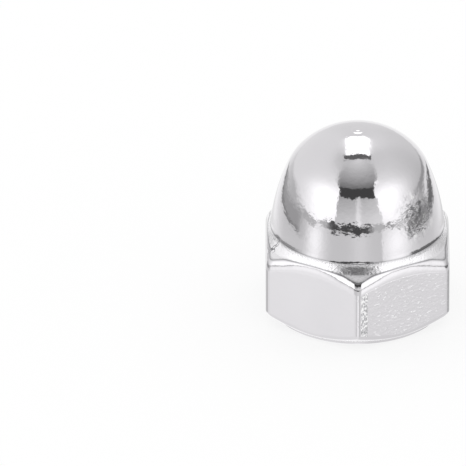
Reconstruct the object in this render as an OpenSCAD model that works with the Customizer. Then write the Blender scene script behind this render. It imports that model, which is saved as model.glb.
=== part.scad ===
// Hexagon cap nut: a domed nut that covers the end of a bolt.
// One piece of plated steel, forged to shape, then drilled, countersunk and tapped from below.
// Millimetres. The bearing face lies on z = 0 and the dome points up.

/* [Thread] */
// Nominal diameter of the thread
thread_d = 10; // [8:0.5:11]
// Pitch of the thread
thread_pitch = 1.5; // [1:0.25:2]
// Height up to which the hole is tapped
thread_end = 11; // [8:0.5:12]
// Diameter of the relief groove where the tap runs out
relief_d = 10.5; // [10.2:0.1:12]
// Length of the relief groove, with its run-in cone
relief_len = 2; // [1.2:0.1:2.5]
// Full angle of the drill point at the blind end
drill_angle = 118; // [90:1:140]

/* [Mouth of the hole] */
// Outer diameter of the shallow lip in the bearing face
lip_d = 12.5; // [11.8:0.1:14]
// Depth of the lip
lip_depth = 0.3; // [0.1:0.05:0.6]
// Diameter of the countersink at the bottom of the lip
sink_d = 10.8; // [10.2:0.1:11.4]
// Full angle of the countersink
sink_angle = 60; // [50:1:100]

/* [Hexagon] */
// Width across the flats
across_flats = 17; // [16.8:0.1:19]
// Radius along the six upright edges
edge_r = 0.8; // [0.2:0.05:1.2]
// Slope of the upper chamfer from the level
top_slope = 36; // [25:1:42]
// Slope of the lower chamfer from the level
bottom_slope = 35; // [15:1:45]

/* [Bearing face] */
// Diameter of the raised bearing ring
ring_d = 16.1; // [15:0.1:16.4]
// Height by which the ring stands proud of the lower chamfer
ring_h = 0.25; // [0.15:0.05:0.6]
// Width of the small bevel round the bearing ring
ring_bevel = 0.08; // [0.02:0.02:0.12]

/* [Collar] */
// Diameter of the collar's head, where the crown's flank would meet the collar's wall
collar_d = 16.08; // [15.9:0.02:16.4]
// Height of the collar's head
collar_h = 8.5; // [8.3:0.02:9.4]
// Lean of the collar's conical wall from upright
collar_lean = 33; // [24:1:38]
// Height of the collar's foot, where its wall would meet the upper chamfer
shoulder_h = 7.74; // [7.5:0.02:7.9]
// Radius of the hollow at the collar's head
head_hollow_r = 1.2; // [0.4:0.1:1.6]
// Radius of the hollow at the collar's foot
foot_hollow_r = 0.8; // [0.3:0.1:1.2]

/* [Crown] */
// Height of the crown above the bearing face
crown_h = 18.2; // [17.2:0.1:21]
// Radius of the dome on top of the crown
dome_r = 7.65; // [7.4:0.05:7.8]
// Angle above level at which the dome gives way to the tighter haunch
dome_end = 43; // [36:1:50]
// Radius of the haunch
haunch_r = 5; // [4:0.1:6]
// Angle above level at which the haunch gives way to the nearly straight flank
haunch_end = 23.5; // [18:0.5:30]
// Diameter of the small pip left on the crown
pip_d = 1.1; // [0.6:0.1:2]
// Height of the pip above the crown
pip_h = 0.06; // [0.03:0.01:0.2]

/* [Hidden] */
$fn = 128;

// how far a cutting or trimming shape runs past the solid
cut = 1;
// how far an arc passes a line that it touches, so that the two cross and the solid stays closed
lap = 0.001;
// how far the disc of one arc runs on inside the form above or below it
run_on = 0.5;
apothem = across_flats / 2;
// distance of the rounded edges' centres from the axis
core_r = (apothem - edge_r) / cos(30);
corner_r = core_r + edge_r;
// distance from the axis to the line that joins the two ends of a rounded edge
corner_cut = core_r + edge_r * cos(30);
trim_r = corner_r + cut;
// an ISO thread's minor radius, to the tips of its ridges
minor_r = thread_d / 2 - 0.54127 * thread_pitch;
sink_end = lip_depth + (sink_d / 2 - minor_r) / tan(sink_angle / 2);
relief_run_in = (relief_d / 2 - minor_r) / 2;
relief_end = thread_end + relief_len;
point_h = minor_r / tan(drill_angle / 2);

// a direction in the half section, by its angle above level
function outward(angle) = [cos(angle), sin(angle)];

// the collar's wall runs from its head, where it meets the crown, to its foot on the upper chamfer
collar_down = [sin(collar_lean), -cos(collar_lean)];
collar_head = [collar_d / 2, collar_h];
collar_foot = collar_head + (collar_h - shoulder_h) / cos(collar_lean) * collar_down;
function top_chamfer(r) = shoulder_h - (r - collar_foot[0]) * tan(top_slope);
function bottom_chamfer(r) = ring_h + (r - ring_d / 2) * tan(bottom_slope);

// the crown's arcs, from the top: the haunch runs on from the dome without a corner, and so does the
// flank from the haunch; the flank's radius is the one that takes it to the collar's head
dome_centre = [0, crown_h - dome_r];
haunch_centre = dome_centre + (dome_r - haunch_r) * outward(dome_end);
haunch_top = dome_centre[1] + dome_r * sin(dome_end);
flank_start = haunch_centre + haunch_r * outward(haunch_end);
flank_span = collar_head - flank_start;
flank_r = -(flank_span * flank_span) / (2 * flank_span * outward(haunch_end));
flank_centre = flank_start - flank_r * outward(haunch_end);

// the upper hollow touches the flank's arc and the collar's wall; hollow_drop is how far down the
// wall from the collar's head it touches it
above_wall = collar_head + head_hollow_r * outward(collar_lean) - flank_centre;
above_slide = above_wall * collar_down;
hollow_reach = flank_r + head_hollow_r;
hollow_drop = sqrt(pow(above_slide, 2) + pow(hollow_reach, 2) - above_wall * above_wall) - above_slide;
head_hollow_end = collar_head + hollow_drop * collar_down;
head_hollow_centre = head_hollow_end + head_hollow_r * outward(collar_lean);
head_hollow_top = flank_centre + flank_r / hollow_reach * (head_hollow_centre - flank_centre);

// the lower hollow touches the collar's wall and the upper chamfer
foot_touch = foot_hollow_r * tan((90 - top_slope - collar_lean) / 2);
foot_hollow_top = collar_foot - foot_touch * collar_down;
foot_hollow_end = collar_foot + foot_touch * outward(-top_slope);
foot_hollow_centre = foot_hollow_top + foot_hollow_r * outward(collar_lean);

// the pip is a shallow cap of a ball that meets the dome at the pip's diameter
pip_foot = dome_centre[1] + sqrt(pow(dome_r, 2) - pow(pip_d / 2, 2));
pip_rise = crown_h + pip_h - pip_foot;
pip_r = (pow(pip_d / 2, 2) + pow(pip_rise, 2)) / (2 * pip_rise);

// The part of a disc that lies between two heights and outside the axis
module band(low, high, centre, radius) {
    intersection() {
        translate(centre) circle(r = radius);
        translate([0, low]) square([trim_r, high - low]);
    }
}

// Half section of the turned form: bearing ring, both chamfers, collar, crown and pip
module turned_section() {
    difference() {
        union() {
            polygon([
                [0, 0],
                [ring_d / 2 - ring_bevel, 0],
                [ring_d / 2, ring_bevel],
                [ring_d / 2, ring_h],
                [trim_r, bottom_chamfer(trim_r)],
                [trim_r, top_chamfer(trim_r)],
                foot_hollow_end,
                foot_hollow_top,
                head_hollow_end,
                head_hollow_top,
                [0, head_hollow_top[1]]
            ]);
            band(collar_h, flank_start[1], flank_centre, flank_r);
            band(flank_start[1] - run_on, haunch_top + run_on, haunch_centre, haunch_r + lap);
            band(haunch_top, crown_h + cut, dome_centre, dome_r);
            band(haunch_top, crown_h + cut, [0, crown_h + pip_h - pip_r], pip_r);
        }
        translate(head_hollow_centre) circle(r = head_hollow_r + lap);
        translate(foot_hollow_centre) circle(r = foot_hollow_r + lap);
    }
}

// Half section of the hole: lip, countersink, tapping bore, relief groove and drill point
module hole_section() {
    polygon([
        [0, -cut],
        [lip_d / 2, -cut],
        [lip_d / 2, 0],
        [sink_d / 2, lip_depth],
        [minor_r, sink_end],
        [minor_r, thread_end],
        [relief_d / 2, thread_end + relief_run_in],
        [relief_d / 2, relief_end],
        [minor_r, relief_end],
        [0, relief_end + point_h]
    ]);
}

// Hexagon with rounded corners: a second hexagon takes the corners off and a disc fills each one,
// and the flats trim the discs
module rounded_hexagon() {
    intersection() {
        rotate(30) circle(r = apothem / cos(30), $fn = 6);
        union() {
            circle(r = corner_cut / cos(30), $fn = 6);
            for (i = [0:5]) rotate(60 * i + 30) translate([core_r, 0]) circle(r = edge_r + lap);
        }
    }
}

module cap_nut() {
    color("silver")
    difference() {
        intersection() {
            linear_extrude(height = crown_h + pip_h + cut) rounded_hexagon();
            rotate_extrude() turned_section();
        }
        rotate_extrude() hole_section();
    }
}

cap_nut();
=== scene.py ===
import bpy
import numpy as np
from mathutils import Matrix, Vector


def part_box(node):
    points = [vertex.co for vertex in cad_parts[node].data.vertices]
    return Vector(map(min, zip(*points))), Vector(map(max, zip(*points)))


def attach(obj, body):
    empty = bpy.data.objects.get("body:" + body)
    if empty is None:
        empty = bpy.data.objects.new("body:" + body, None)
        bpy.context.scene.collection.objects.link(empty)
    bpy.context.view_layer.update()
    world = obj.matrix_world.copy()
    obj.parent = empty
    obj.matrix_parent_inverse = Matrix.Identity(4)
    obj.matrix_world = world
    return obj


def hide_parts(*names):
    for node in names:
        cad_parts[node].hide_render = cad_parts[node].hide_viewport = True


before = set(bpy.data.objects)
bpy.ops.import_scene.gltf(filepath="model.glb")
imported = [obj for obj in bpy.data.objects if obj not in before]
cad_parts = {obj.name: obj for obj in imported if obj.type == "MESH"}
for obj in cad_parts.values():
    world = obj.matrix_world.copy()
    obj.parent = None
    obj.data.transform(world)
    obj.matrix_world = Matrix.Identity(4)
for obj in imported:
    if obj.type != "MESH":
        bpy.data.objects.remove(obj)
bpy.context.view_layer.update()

# The nut's form. It is one piece of steel, cold-forged from wire, with its crown, collar and bearing
# ring turned. Half of its section is drawn as rows of points, one complex number each: the distance
# from the axis plus 1j times the height, in millimetres. A row goes once round the nut.
apothem, _, nut_height = np.array(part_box("cap_nut")[1]) * 1000
edge_radius = 0.8
to_corner = np.radians(30)
edge_centre = (apothem - edge_radius) / np.cos(to_corner)
flat_angle = np.arctan((apothem - edge_radius) * np.tan(to_corner) / apothem)


def angles_round_the_nut(per_flat, per_edge):
    """Angles of one turn, from the first flat on +X: even steps across each flat, one narrow step at
    both of its ends, and even steps of the edge's own arc round each of the six upright edges."""
    narrow = 0.0025
    flat = np.linspace(-flat_angle, flat_angle, per_flat + 1)
    flat = np.sort(np.append(flat, [narrow - flat_angle, flat_angle - narrow]))
    swing = np.linspace(-to_corner, to_corner, per_edge + 1)[1:-1]
    edge = np.arctan2(edge_radius * np.sin(swing), edge_centre + edge_radius * np.cos(swing))
    sixth = np.concatenate([flat, to_corner + edge])
    return np.concatenate([sixth + 2 * to_corner * turn for turn in range(6)])


def hexagon_reach(angle):
    """Distance from the axis to the hexagon: apothem over the cosine of the angle from the nearest
    flat's middle, and near a corner the far side of the circle that rounds the edge."""
    off_flat = np.abs((angle + to_corner) % (2 * to_corner) - to_corner)
    off_edge = to_corner - off_flat
    beside = edge_centre * np.sin(off_edge)
    rounded = edge_centre * np.cos(off_edge) + np.sqrt(np.maximum(edge_radius**2 - beside**2, 0))
    return np.where(off_flat > flat_angle, rounded, apothem / np.cos(off_flat))


angle = angles_round_the_nut(28, 14)
reach = hexagon_reach(angle)

# The crown: a turned dome with the small pip that the tool leaves on its pole. A tighter haunch and
# then a nearly straight flank run on from it down to the collar's head.
pip_height = 0.06
pip_steps = (0.22, 0.58)
pip_softness = 0.08
pip_foot = 1.2
dome_radius = 7.65
dome_end = 43
haunch_radius = 5.0
haunch_end = 23.5
collar_head = 8.04 + 8.5j


def outward(slope):
    """A step of one in the half section, in a direction given in degrees above level."""
    return np.exp(1j * np.radians(slope))


def arc(centre, radius, first, last, steps):
    """Rows on a circle about centre, from the first direction to the last."""
    return centre + radius * outward(np.linspace(first, last, steps + 1))[:, None] + 0 * reach


dome_centre = 1j * (nut_height - pip_height - dome_radius)
haunch_centre = dome_centre + (dome_radius - haunch_radius) * outward(dome_end)
flank_start = haunch_centre + haunch_radius * outward(haunch_end)
flank_span = collar_head - flank_start
flank_radius = -abs(flank_span) ** 2 / (2 * (flank_span / outward(haunch_end)).real)
flank_centre = flank_start - flank_radius * outward(haunch_end)

# the pip rises from the dome in two soft steps, each half of its height
pip_reach = np.linspace(0, pip_foot, 33)[:, None]
pip_rise = sum(pip_height / 4 * (1 + np.tanh((step - pip_reach) / pip_softness)) for step in pip_steps)
pip = pip_reach + 1j * (dome_centre.imag + np.sqrt(dome_radius**2 - pip_reach**2) + pip_rise) + 0 * reach
dome = arc(dome_centre, dome_radius, np.degrees(np.arccos(pip_foot / dome_radius)), dome_end, 38)
haunch = arc(haunch_centre, haunch_radius, dome_end, haunch_end, 14)

# The collar: a hollow, a short leaning wall and another hollow lead from the crown's flank out to
# the hexagon's shoulder. The wall leans less at the middle of each flat, where the shoulder is narrow,
# and the shoulder is forged down a little, most of all there.
collar_drop = 0.76
shoulder_slope = 36
hollow_above_head = 0.5
hollow_below_head = 0.4
# 1 at the middle of each flat, and near 0 at the corners
mid_flat = np.exp(-(reach - apothem) / 0.35)
# the wall's lean from upright, in degrees
corner_lean = 33
lean = corner_lean - 12 * mid_flat
forged_down = 0.07 + 0.05 * mid_flat


def straight(start, end, stops):
    """Rows on the straight line from start to end, at the given shares of its length."""
    return start + (end - start) * np.array(stops)[:, None] + 0 * reach


def eased(before, corner, after, steps):
    """Rows on a cubic Bezier curve from before to after that leaves and arrives on the lines to the
    corner. Both handles reach 0.55 of the way to it, which comes close to a quarter of an ellipse."""
    t = np.linspace(0, 1, steps + 1)[:, None]
    leave = before + 0.55 * (corner - before)
    arrive = after + 0.55 * (corner - after)
    curve = before * (1 - t) ** 3 + leave * 3 * t * (1 - t) ** 2 + arrive * 3 * t**2 * (1 - t) + after * t**3
    return curve + 0 * reach


def toward(start, goal, distance):
    """The point at that distance from start on the way to goal."""
    return start + (goal - start) * distance / np.abs(goal - start)


def crossing(start, course, other_start, other_course):
    """The point where the line from start along its course crosses the other line."""
    return start + course * ((other_start - start) / other_course).imag / (course / other_course).imag


flank_end = np.degrees(np.angle(collar_head - flank_centre) + hollow_above_head / flank_radius)
flank = arc(flank_centre, flank_radius, haunch_end, flank_end, 16)
wall_down = outward(lean - 90)
hollow_meet = crossing(flank[-1], outward(flank_end - 90), collar_head, wall_down)
wall_top = hollow_meet + hollow_below_head * wall_down
head_hollow = eased(flank[-1], hollow_meet, wall_top, 18)

shoulder_head = collar_head + collar_drop / np.cos(np.radians(corner_lean)) * outward(corner_lean - 90)
shoulder_head = shoulder_head - 1j * forged_down
shoulder_fall = (reach - shoulder_head.real) * np.tan(np.radians(shoulder_slope))
top_corner = reach + 1j * (shoulder_head.imag - shoulder_fall)
collar_foot = crossing(collar_head, wall_down, shoulder_head, outward(-shoulder_slope))
shoulder_width = np.abs(top_corner - collar_foot)
foot_reach = np.minimum(0.12, (0.24 - 0.2 * mid_flat) * shoulder_width)
foot_start = toward(collar_foot, wall_top, foot_reach)
foot_hollow = eased(foot_start, collar_foot, toward(collar_foot, top_corner, foot_reach), 12)
wall = straight(wall_top, foot_hollow[0], [0.1, 0.5, 0.9])

# The hexagon: the shoulder cuts its upper corners off and a cone its lower corners. Where they meet
# the six flats, the forged edges are soft, and the upper ones fade far down the flats.
ring_radius = 8.05
ring_height = 0.25
root_round = 0.04
low_slope = 35
fade_on_shoulder = np.minimum(0.52, (0.74 + 0.2 * mid_flat) * shoulder_width)
fade_on_flat = 0.90
edge_start = toward(top_corner, collar_foot, fade_on_shoulder)
soft_corner = top_corner - 1j * (0.06 + 0.14 * mid_flat)
cone = straight(foot_hollow[-1], edge_start, [0.1, 0.35, 0.65, 0.9])
top_edge = eased(edge_start, soft_corner, top_corner - 1j * fade_on_flat, 20)

ring_root = ring_radius + 1j * ring_height
low_corner = reach + 1j * (ring_height + (reach - ring_radius) * np.tan(np.radians(low_slope)))
low_fade = np.minimum(0.35, 0.45 * np.abs(low_corner - ring_root))
low_edge = eased(low_corner + 1j * low_fade, low_corner, toward(low_corner, ring_root, low_fade), 10)
low_cone = straight(low_edge[-1], ring_root + root_round * outward(low_slope), [0.1, 0.5, 0.9])
flat = straight(top_edge[-1], low_edge[0], [0.01, 0.08, 0.3, 0.5, 0.7, 0.92, 0.99])

# The bearing ring: a turned face that stands proud of the lower cone, with a shallow lip inside and a
# countersink that leads into the thread.
ring_bevel = 0.1
lip_radius = 6.25
lip_round = 0.05
lip_depth = 0.3
sink_radius = 5.4
sink_angle = 60
ring_rim = ring_radius + 0j
lip_rim = lip_radius + 0j
sink_rim = sink_radius + 1j * lip_depth
ring_side = eased(low_cone[-1], ring_root, ring_root - 1j * root_round, 3)
ring_edge = eased(ring_rim + 1j * ring_bevel, ring_rim, ring_rim - ring_bevel, 6)
ring_face = straight(ring_rim - ring_bevel, lip_rim + lip_round, [0.02, 0.35, 0.65, 0.98])
lip_edge = eased(lip_rim + lip_round, lip_rim, toward(lip_rim, sink_rim, lip_round), 3)
lip = straight(lip_edge[-1], toward(sink_rim, lip_rim, 0.0424), [0.05, 0.5, 0.95])

# The hole: drilled and then tapped M10 x 1.5, right-handed, up to a groove in which the tap runs
# out. The drill's point closes it.
pitch = 1.5
major = 5.0
minor = 4.188
thread_end = 11.0
groove_radius = 5.25
groove_end = 13.0
groove_round = 0.08
run_in_slope = 2
drill_angle = 118
drill_point = groove_end + minor / np.tan(np.radians(drill_angle / 2))


def thread_reach(height, angle):
    """Distance from the axis to the thread: a ridge an eighth of a pitch to each side of its middle
    line, flanks that rise over five sixteenths, and the root between. The middle line climbs one
    pitch a turn, anticlockwise from above. The mean of three lines a fiftieth of a pitch apart
    softens the thread's corners."""
    def depth(shift):
        """0 on a ridge and 1 at the root, with the middle line shifted by that share of a pitch."""
        across = np.abs((height / pitch - angle / (2 * np.pi) + 0.5 + shift) % 1 - 0.5)
        return np.clip((across - 1 / 8) / (5 / 16), 0, 1)
    return minor + (major - minor) * (depth(-0.02) + depth(0) + depth(0.02)) / 3


tapped = np.linspace(lip_depth, thread_end, 116)[:, None]
countersink = sink_radius - (tapped - lip_depth) * np.tan(np.radians(sink_angle / 2))
hole_wall = np.maximum(thread_reach(tapped, angle), countersink) + 1j * tapped
run_in = np.linspace(thread_end + 0.06, thread_end + (groove_radius - minor) / run_in_slope, 9)[:, None]
run_in_cone = minor + (run_in - thread_end) * run_in_slope
run_out = np.maximum(thread_reach(run_in, angle), run_in_cone) + 1j * run_in
# the rows on both sides of a crease stand within a tenth of a millimetre of it, to keep it crisp
groove_corner = groove_radius + 1j * groove_end
roof_corner = minor + 1j * groove_end
groove_wall = straight(groove_radius + 1j * (run_in[-1] + 0.05), groove_corner - 0.1j, [0, 0.5, 1])
groove_foot = eased(groove_corner - 1j * groove_round, groove_corner, groove_corner - groove_round, 4)
groove_roof = straight(groove_corner - 0.1, roof_corner + 0.062, [0, 0.5, 1])
roof_edge = eased(roof_corner + 0.052, roof_corner, toward(roof_corner, 1j * drill_point, 0.05), 3)
point = straight(roof_edge[-1], 1j * drill_point, [0.04, 0.3, 0.6, 0.85, 1])

# The skin: the rows in order, from the crown's pole down the outside and up the hole, become one
# closed surface. Each kind of surface is marked, because the plating takes each of them differently.
head_middle = len(head_hollow) // 2
parts = [(pip, "crown"), (dome[1:], "crown"), (haunch[1:], "crown"), (flank[1:], "crown"),
         (head_hollow[1:head_middle + 1], ""), (head_hollow[head_middle + 1:], "forged"),
         (wall, "forged"), (foot_hollow, "forged"), (cone, "shoulder"), (top_edge, ""), (flat, "flat"),
         (low_edge, ""), (low_cone, "shoulder"), (ring_side, ""), (ring_edge, ""), (ring_face, "faced"),
         (lip_edge[1:], ""), (lip, "hole"), (hole_wall, "hole"), (run_out, "hole"),
         (groove_wall, "hole"), (groove_foot, "hole"), (groove_roof, "hole"), (roof_edge[1:], "hole"),
         (point, "hole")]
rows = np.concatenate([part for part, _ in parts])


def quads_between(rings, columns, first):
    """The quads that join each ring of points to the next one. A quad goes from a point to the next
    ring's point in the same column, and back by both rings' points in the next column. The first ring
    starts at point number first."""
    here = np.arange(columns)
    after = (here + 1) % columns
    start = first + np.arange(rings - 1)[:, None] * columns
    return np.stack([start + here, start + columns + here, start + columns + after, start + after], -1)


def filled_mesh(name, points, corners, sides):
    """A mesh of points in metres. Corners lists the faces' points one face after the other, and sides
    says how many of them each face has."""
    mesh = bpy.data.meshes.new(name)
    mesh.vertices.add(len(points))
    mesh.vertices.foreach_set("co", points.ravel())
    mesh.loops.add(len(corners))
    mesh.loops.foreach_set("vertex_index", corners)
    mesh.polygons.add(len(sides))
    mesh.polygons.foreach_set("loop_start", np.cumsum(sides) - sides)
    mesh.update(calc_edges=True)
    return mesh


def closed_skin(name, rows, angle):
    """A mesh of rings: a row's point at an angle lies its distance from the axis times the angle's
    cosine and sine out, at its height. The first and the last row are poles of one point each, joined
    by a fan, and the rows between by quads, so that every face points out of the metal."""
    count, columns = rows.shape
    rings = np.stack([rows.real * np.cos(angle), rows.real * np.sin(angle), rows.imag], -1)[1:-1]
    points = np.concatenate([[[0, 0, rows[0, 0].imag]], rings.reshape(-1, 3), [[0, 0, rows[-1, 0].imag]]])
    here = np.arange(columns)
    after = (here + 1) % columns
    last = 1 + (count - 3) * columns
    quads = quads_between(count - 2, columns, 1)
    top_fan = np.stack([0 * here, 1 + here, 1 + after], -1)
    end_fan = np.stack([last + here, 0 * here + len(points) - 1, last + after], -1)
    corners = np.concatenate([top_fan.ravel(), quads.ravel(), end_fan.ravel()])
    sides = np.repeat([3, 4, 3], [columns, quads.size // 4, columns])
    mesh = filled_mesh(name, points / 1000, corners, sides)
    mesh.validate()
    mesh.shade_smooth()
    return mesh


nut_mesh = closed_skin("cap_nut_skin", rows, angle)


def mark_points(kind, share):
    """Stores how much of that kind of surface is at each point, from an array like the rows; each
    pole is one point."""
    values = np.concatenate([share[0, :1], share[1:-1].ravel(), share[-1, :1]])
    nut_mesh.attributes.new(kind, "FLOAT", "POINT").data.foreach_set("value", values)


def bell(value, middle, width):
    """1 at the middle value, falling off as a bell curve of that width."""
    return np.exp(-(((value - middle) / width) ** 2))


row_counts = [len(part) for part, _ in parts]
for kind in ("crown", "forged", "shoulder", "flat", "faced", "hole"):
    row_share = np.repeat([float(mark == kind) for _, mark in parts], row_counts)
    mark_points(kind, row_share[:, None] + 0 * angle)
# thin lines of painted shade run along the creases at the shoulder's rim and the collar's head, the latter
# fainter in front
crease_width = 0.09
in_front = bell(angle % (2 * np.pi), 1.5 * np.pi, 0.4)
rim_crease = bell(np.abs(rows - edge_start), 0, crease_width)
head_crease = bell(np.abs(rows - head_hollow[head_middle]), 0, crease_width)
mark_points("crease", rim_crease + (1 - 0.75 * in_front) * head_crease)

nut = bpy.data.objects.new("cap_nut_skin", nut_mesh)
bpy.context.scene.collection.objects.link(nut)
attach(nut, "root")
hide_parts("cap_nut")

# The plating: bright nickel over steel, mirror smooth on the crown and duller on forged skin and in
# the hole. It follows every dent, nick and turning mark of the steel, is stained in pits, and has
# painted shade in its creases.
# Places and widths are in millimetres, and the heights of bumps in microns.
plain_nickel = (0.70, 0.688, 0.708, 1)
bright_nickel = (0.745, 0.732, 0.754, 1)
hole_grey = (0.42, 0.41, 0.40, 1)
forged_pale = (0.92, 0.91, 0.93, 1)
shoulder_pale = (0.84, 0.83, 0.85, 1)
forged_grey = (0.74, 0.73, 0.75, 1)
seam_stain = (0.46, 0.46, 0.47, 1)
pit_stain = (0.36, 0.36, 0.37, 1)
painted_crease_shade = (0.24, 0.24, 0.25, 1)
scrape_stain = (0.20, 0.20, 0.21, 1)
nick_glint = (0.95, 0.95, 0.96, 1)
glint = (1.0, 1.0, 1.0, 1)
plating = bpy.data.materials.new("plated_steel")


def emptied_tree(owner):
    """The owner's node tree, with no node in it."""
    owner.use_nodes = True
    owner.node_tree.nodes.clear()
    return owner.node_tree


tree = emptied_tree(plating)


def node(kind, settings=None, **inputs):
    """Adds a node to the tree in hand; settings are its own properties, and inputs its sockets, by
    name or as _0, _1."""
    made = tree.nodes.new("ShaderNode" + kind)
    for key, value in (settings or {}).items():
        setattr(made, key, value)
    for key, value in inputs.items():
        socket = made.inputs[int(key[1:])] if key.startswith("_") else made.inputs[key.replace("_", " ")]
        if isinstance(value, bpy.types.NodeSocket):
            tree.links.new(value, socket)
        else:
            socket.default_value = value
    return made


def maths(operation, *values):
    """A Math node on one to three values."""
    return node("Math", {"operation": operation}, **{f"_{i}": v for i, v in enumerate(values)}).outputs[0]


def product(first, *others):
    """All the values multiplied together."""
    for value in others:
        first = maths("MULTIPLY", first, value)
    return first


def ramp(value, start, end, course="LINEAR"):
    """0 where the value is start and 1 where it is end, and no less or more beyond them."""
    return node("MapRange", {"interpolation_type": course}, Value=value, _1=start, _2=end).outputs[0]


def marked(kind):
    """The number that the mesh stores here under that name, such as how much it is crown or flat."""
    return node("Attribute", {"attribute_name": kind}).outputs["Fac"]


metres = node("TexCoord").outputs["Object"]
place = node("VectorMath", {"operation": "SCALE"}, _0=metres, Scale=1000.0).outputs[0]


def grain(size, detail=2.0, roughness=0.5, stretch=(1, 1, 1)):
    """Even noise from 0 to 1 whose lumps are about size wide, stretched along the axes."""
    laid = node("Mapping", None, Vector=place, Scale=stretch).outputs[0]
    noise = node("TexNoise", None, Vector=laid, Scale=1 / size, Detail=detail, Roughness=roughness)
    return noise.outputs["Fac"]


def near(spot, radius):
    """1 round that spot, falling to 0 at the radius."""
    away = node("VectorMath", {"operation": "DISTANCE"}, _0=place, _1=spot).outputs["Value"]
    return ramp(away, radius, 0.4 * radius, "SMOOTHSTEP")


def squiggle(size, stretch, width):
    """Thin winding lines: 1 where the grain passes its middle value, within that share of its range."""
    off_middle = maths("ABSOLUTE", maths("SUBTRACT", grain(size, 1.0, 0.5, stretch), 0.5))
    return ramp(off_middle, width, 0.4 * width)


def raised(height, microns, under=None):
    """Bumps that rise that far where the height is 1, on top of the bumps under them."""
    inputs = {"Height": height, "Distance": microns / 1e6, "Strength": 1.0}
    if under is not None:
        inputs["Normal"] = under
    return node("Bump", None, **inputs).outputs[0]


def tinted(under, colour, share):
    """Lays a colour over the tone under it, by that share."""
    return node("Mix", {"data_type": "RGBA"}, _0=share, _6=under, _7=colour).outputs[2]


# where the wear is: pitting on the crown's right, scrapes left of the collar, a worn flat right of the
# front edge, a narrow seam beside that edge, and grain on the front of the collar
pitted = product(near((5.6, -5.0, 12.0), 3.0), marked("crown"))
scraped = near((-7.6, -3.4, 7.9), 1.1)
worn = product(near((4.3, -7.4, 4.0), 6.2), marked("flat"))
faint_patches = product(ramp(grain(6.0), 0.5, 0.62), marked("flat"), 0.08)
etched = maths("MAXIMUM", faint_patches, worn)
nicks = product(ramp(grain(0.45, 1.0, 0.5, (1, 1, 2.2)), 0.60, 0.70), worn)
place_x, place_y, _ = node("SeparateXYZ", None, Vector=place).outputs
off_seam = maths("ABSOLUTE", maths("SUBTRACT", place_x, 0.59))
seam = product(ramp(off_seam, 0.36, 0.26), maths("LESS_THAN", place_y, -8.0), marked("flat"))
mottled = product(near((0.0, -8.3, 8.0), 3.2), marked("forged"))

# the unevenness of the steel under the plating, from its broad swell to the fine turning marks
unpressed = maths("MULTIPLY_ADD", marked("flat"), -0.75, 1.0)
forged_skin = maths("ADD", marked("forged"), marked("shoulder"))
turning_marks = node("TexWave", {"wave_type": "RINGS", "rings_direction": "Z"}, Vector=place, Scale=1.4,
                     Distortion=1.5, Detail=2.0).outputs["Fac"]
relief = raised(grain(3.0), 4)
relief = raised(product(maths("SUBTRACT", grain(0.48), 0.5), unpressed), 10, relief)
relief = raised(product(grain(0.30, 3.0, 0.6), pitted), 30, relief)
relief = raised(product(grain(0.40, 2.0, 0.5, (1, 1, 0.5)), scraped), 80, relief)
relief = raised(product(grain(0.24, 3.0, 0.6), forged_skin), 30, relief)
relief = raised(product(grain(0.35, 3.0, 0.6, (1, 1, 1.6)), etched), 24, relief)
relief = raised(nicks, 18, relief)
relief = raised(product(turning_marks, marked("faced")), 2, relief)

# how dull each surface is
rough = maths("MULTIPLY_ADD", grain(1.8, 3.0), 0.05, 0.02)
for surface, duller in ((marked("hole"), 0.22), (marked("forged"), 0.22), (marked("shoulder"), 0.13),
                        (etched, 0.06), (marked("faced"), 0.12)):
    rough = maths("MULTIPLY_ADD", surface, duller, rough)

# its tone: nickel, paler on forged skin, with painted shade in the creases and dark stains in the scrapes
# and pits
forged_grain = ramp(grain(0.22, 2.0, 0.6), 0.42, 0.62)
flecks = grain(0.19, 2.0, 0.6, (1, 1, 0.7))
scrapes = product(squiggle(0.7, (1, 1, 0.6), 0.035), scraped)
blotches = grain(0.7, 3.0, 0.65, (1, 1, 0.5))
tone = tinted(plain_nickel, bright_nickel, grain(4.0, 3.0))
tone = tinted(tone, hole_grey, marked("hole"))
tone = tinted(tone, forged_pale, marked("forged"))
tone = tinted(tone, shoulder_pale, marked("shoulder"))
tone = tinted(tone, forged_grey, product(forged_grain, mottled))
tone = tinted(tone, seam_stain, product(seam, ramp(flecks, 0.52, 0.40)))
tone = tinted(tone, glint, product(seam, ramp(flecks, 0.50, 0.60)))
tone = tinted(tone, nick_glint, product(nicks, 0.5))
# painted shade: the creases are darkened in the colour itself
tone = tinted(tone, painted_crease_shade, product(marked("crease"), 0.75))
tone = tinted(tone, scrape_stain, scrapes)
tone = tinted(tone, pit_stain, product(pitted, ramp(blotches, 0.52, 0.62)))
tone = tinted(tone, glint, product(pitted, ramp(blotches, 0.44, 0.36)))

steel = node("BsdfPrincipled", None, Base_Color=tone, Metallic=1.0, Roughness=rough, Normal=relief)
node("OutputMaterial", None, Surface=steel.outputs[0])
nut_mesh.materials.append(plating)

# The light tent: a soft shell round the nut, 450 mm away, with two lit side walls, a slot for the
# lens between them and an overhead window. It only shows in the metal. Its brightness is worked out
# over azimuth, which is 0 in front and grows to the right, and height above level, both in degrees.
tent_radius = 0.45
mid_height = 0.009
tent_columns = 720
tent_rows = 360
azimuth, height = np.meshgrid(np.linspace(-180, 180, tent_columns, endpoint=False),
                              np.linspace(-89.9, 89.9, tent_rows))
aside = np.abs(azimuth)
on_left = azimuth < 0


def past(value, edge, soft):
    """0 before the edge and 1 past it, over a band about twice soft wide."""
    return 0.5 + 0.5 * np.tanh((value - edge) / soft)


def between(value, low, high, soft=0.4):
    """1 between low and high, and 0 outside them."""
    return past(value, low, soft) * past(high, value, soft)


def glow(at, up, wide, tall):
    """A round soft light: 1 at its middle, falling off as a bell curve both ways."""
    return bell(azimuth, at, wide) * bell(height, up, tall)


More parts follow.
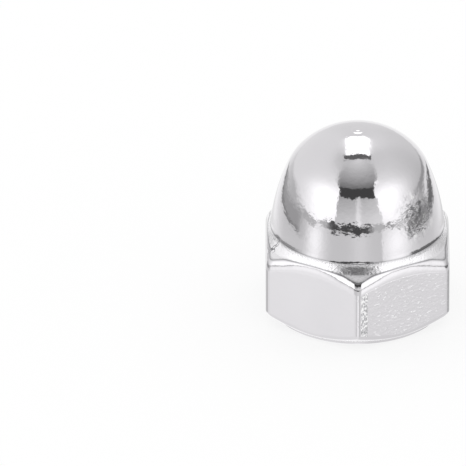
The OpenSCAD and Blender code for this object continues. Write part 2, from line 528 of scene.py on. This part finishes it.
def ragged(size, seed):
    """An uneven line: a few sine waves round the tent with lengths that don't divide each other."""
    waves = np.random.default_rng(seed).uniform(0, 2 * np.pi, 6)
    return size * sum(np.sin(np.radians(azimuth) * k + w) / (1 + i / 2)
                      for i, (k, w) in enumerate(zip((11, 23, 41, 67, 97, 131), waves))) / 2


def blend(under, over, share):
    """Lays the one brightness over the other, by that share."""
    return under + (over - under) * share


# the left and the right wall, which glow beside the slot for the lens
left_wall = 0.92 - 0.22 * past(height, 63, 7) + 0.75 * glow(-52, 17, 31, 23)
right_wall = 0.71 + np.clip(0.0035 * (height - 30), -0.09, 0.08)
right_wall = right_wall + past(azimuth, 140, 12) * (0.16 - 0.2 * past(height, 66, 5))
right_wall = right_wall + 0.90 * glow(48, 17, 37, 28) + 0.3 * glow(41, 50, 5, 3)
light = blend(np.where(on_left, left_wall, right_wall), 0.86, past(aside, 166, 6))

# overhead, behind the sheet: a dark gap, and beyond it the bright window with a halo at its sides; a
# place on the ceiling is its distance to the right and to the back, in heights of the ceiling
level_run = 1 / np.tan(np.radians(np.maximum(height, 1)))
over_x = np.sin(np.radians(azimuth)) * level_run
over_y = -np.cos(np.radians(azimuth)) * level_run
above = past(height, 30, 0.5)
halo = bell(np.maximum(np.abs(over_x) - 0.24, 0), 0, 0.09) * between(over_y, 0.2, 0.9, 0.05)
light = light + 0.15 * above * halo
window_foot = 0.185 + 0.01 * np.sin(over_x * 90) + 0.006 * np.sin(over_x * 210)
over_gap = between(over_x, -0.29, 0.29, 0.01) * between(over_y, 0.03, window_foot, 0.008)
light = blend(light, 0.15, above * over_gap)
window = between(over_x, -0.225, 0.24, 0.02) * between(over_y, 0.18, 0.97, 0.01)
light = blend(light, 1.9, above * window)

# the slot in front, which widens upwards: a grey sheet, a black gap under it, and a pale card
slot_left = -31 - 0.95 * np.maximum(height - 36, 0)
slot_right = 27.5 + 42 * (np.maximum(height - 30, 0) / 39) ** 2 + 0.4 * np.maximum(22 - height, 0)
in_slot = past(azimuth, slot_left, 0.5 + 0.22 * np.maximum(height - 36, 0))
in_slot = in_slot * past(slot_right, azimuth, 0.5 + 0.35 * np.maximum(height - 48, 0))
sheet = 0.22 + 0.0145 * (height - 45)
card = 0.95 - 0.02 * height + 0.003 * azimuth + 0.25 * bell(azimuth, 1, 4)
gap = between(height, 22.5 + ragged(4.0, 3), 43 + ragged(1.5, 4))
light = blend(light, np.where(height > 32, sheet, card), in_slot)
light = blend(light, 0.07, in_slot * gap)

# the floor of the tent: pale, with a bright patch in front of each lit wall, brighter right in front,
# near the nut and far at the back, and with a dim band between
ground = 0.74 + 0.12 * bell(azimuth, 3, 12) + 0.27 * np.clip((aside - 113) / 35, 0, 1)
ground = ground + 0.52 * glow(-57, -10, 13, 14) + 0.58 * glow(52, -10, 23, 14) * past(azimuth, 31.5, 0.7)
ground = ground + (0.22 - 0.11 * past(azimuth, 0, 10)) * past(-22, height, 3)
ground = ground - 0.40 * past(aside, 100, 6) * between(height, -38, -24, 2)
front_patch = 0.3 * bell(azimuth, 3, 6) - 0.2 * between(aside, 12, 26, 4)
ground = ground + front_patch * between(height, -40, -22, 2)
foot = 1.7 - 3.1 * past(-azimuth, 55, 8) - 3.5 * past(azimuth, 46, 6)
light = blend(light, ground, past(foot, height, 0.6))

# the gloom where walls and floor meet: a thin line in front, and a broad band at the sides
in_middle = between(azimuth, -40, 18, 4)
half_line = 1.5 + 1.2 * in_middle
gloom = 0.62 - 0.54 * in_middle - 0.25 * bell(azimuth, 42, 6) - 0.2 * past(azimuth, 66, 2)
line = between(height, foot - half_line + ragged(1.2, 5), foot + half_line + ragged(1.2, 6), 0.3)
light = blend(light, gloom, line * past(82, aside, 3))
light = light * (1 - 0.2 * past(1, height, 1.5) * past(height, -13, 1) * between(aside, 75, 150, 8))
band_top = -1 - 0.155 * (aside - 75) + ragged(0.5, 8)
band_end = -11.5 - 0.06 * (aside - 80) + ragged(0.3, 9)
band = past(height, band_end, 0.35) * past(band_top, height, np.where(on_left, 1.1, 0.5))
band = band * between(aside, np.where(on_left, 84, 69), 155, 3)
left_band = 0.42 - 0.16 * bell(height, band_end + 0.8, 0.8)
light = blend(light, np.where(on_left, left_band, 0.20), band)

# on the right wall the gloom rises in a dim patch with a pale streak under it
dim_patch = between(azimuth, 104, 146, 5) * between(height, -4 + ragged(1.2, 10), 2.5, 0.8)
light = blend(light, 0.36, 0.8 * dim_patch)
streak = between(azimuth, 110, 146, 3) * between(height, -8.5 - 0.04 * (azimuth - 120), -5.5, 0.5)
light = blend(light, 1.0, 0.8 * streak)

turn = np.radians(azimuth)
lift = np.radians(height)
tent_points = np.stack([np.cos(lift) * np.sin(turn), -np.cos(lift) * np.cos(turn), np.sin(lift)], -1)
tent_points = tent_radius * tent_points.reshape(-1, 3) + np.array([0, 0, mid_height])
tent_quads = quads_between(tent_rows, tent_columns, 0)
tent_mesh = filled_mesh("light_tent", tent_points, tent_quads.ravel(), np.full(tent_quads.size // 4, 4))
tent_mesh.attributes.new("light", "FLOAT", "POINT").data.foreach_set("value", light.ravel())
cloth = bpy.data.materials.new("tent_cloth")
tree = emptied_tree(cloth)
lit = node("Emission", None, Color=(1, 1, 1, 1), Strength=marked("light"))
node("OutputMaterial", None, Surface=lit.outputs[0])
tent_mesh.materials.append(cloth)
tent = bpy.data.objects.new("light_tent", tent_mesh)
bpy.context.scene.collection.objects.link(tent)
tent.visible_camera = False
tent.visible_diffuse = False
tent.visible_shadow = False
tent.visible_transmission = False
tent.visible_volume_scatter = False

# The floor: a plain white sheet under the nut. The lens sees it, and the metal shows the tent's own
# floor in its place.
floor_mesh = bpy.data.meshes.new("floor")
floor_mesh.from_pydata([(-3, -3, 0), (3, -3, 0), (3, 3, 0), (-3, 3, 0)], [], [(0, 1, 2, 3)])
paper = bpy.data.materials.new("white_paper")
tree = emptied_tree(paper)
shaded = node("BsdfDiffuse", None, Color=(0.22, 0.22, 0.22, 1))
plain = node("Emission", None, Color=(1, 1, 1, 1), Strength=0.78)
both = node("AddShader", None, _0=shaded.outputs[0], _1=plain.outputs[0])
node("OutputMaterial", None, Surface=both.outputs[0])
floor_mesh.materials.append(paper)
floor = bpy.data.objects.new("floor", floor_mesh)
bpy.context.scene.collection.objects.link(floor)
floor.visible_glossy = False

# The room: plain white walls all round, which light the floor evenly and from all sides. The nut
# darkens the floor only where it hides them.
world = bpy.data.worlds.new("white_room")
bpy.context.scene.world = world
tree = emptied_tree(world)
room = node("Background", None, Color=(1, 1, 1, 1), Strength=1.0)
node("OutputWorld", None, Surface=room.outputs[0])
bpy.context.scene.view_settings.view_transform = "Standard"

# The camera: a long lens, 29 degrees above the bench and square to a corner of the hexagon. It looks
# past the nut on its left, and a little low.
tilt = np.radians(29)
distance = 1.5
view_width = 0.04317
beside_nut = 0.01153
below_middle = 0.00147
lens_data = bpy.data.cameras.new("camera")
camera = bpy.data.objects.new("camera", lens_data)
bpy.context.scene.collection.objects.link(camera)
bpy.context.scene.camera = camera
back = np.array([0, -np.cos(tilt), np.sin(tilt)])
upward = np.array([0, np.sin(tilt), np.cos(tilt)])
aim = np.array([-beside_nut, 0, mid_height]) - below_middle * upward
lens_data.sensor_width = 36
lens_data.lens = lens_data.sensor_width * distance / view_width
camera.location = aim + back * distance
camera.rotation_euler = (np.pi / 2 - tilt, 0, 0)
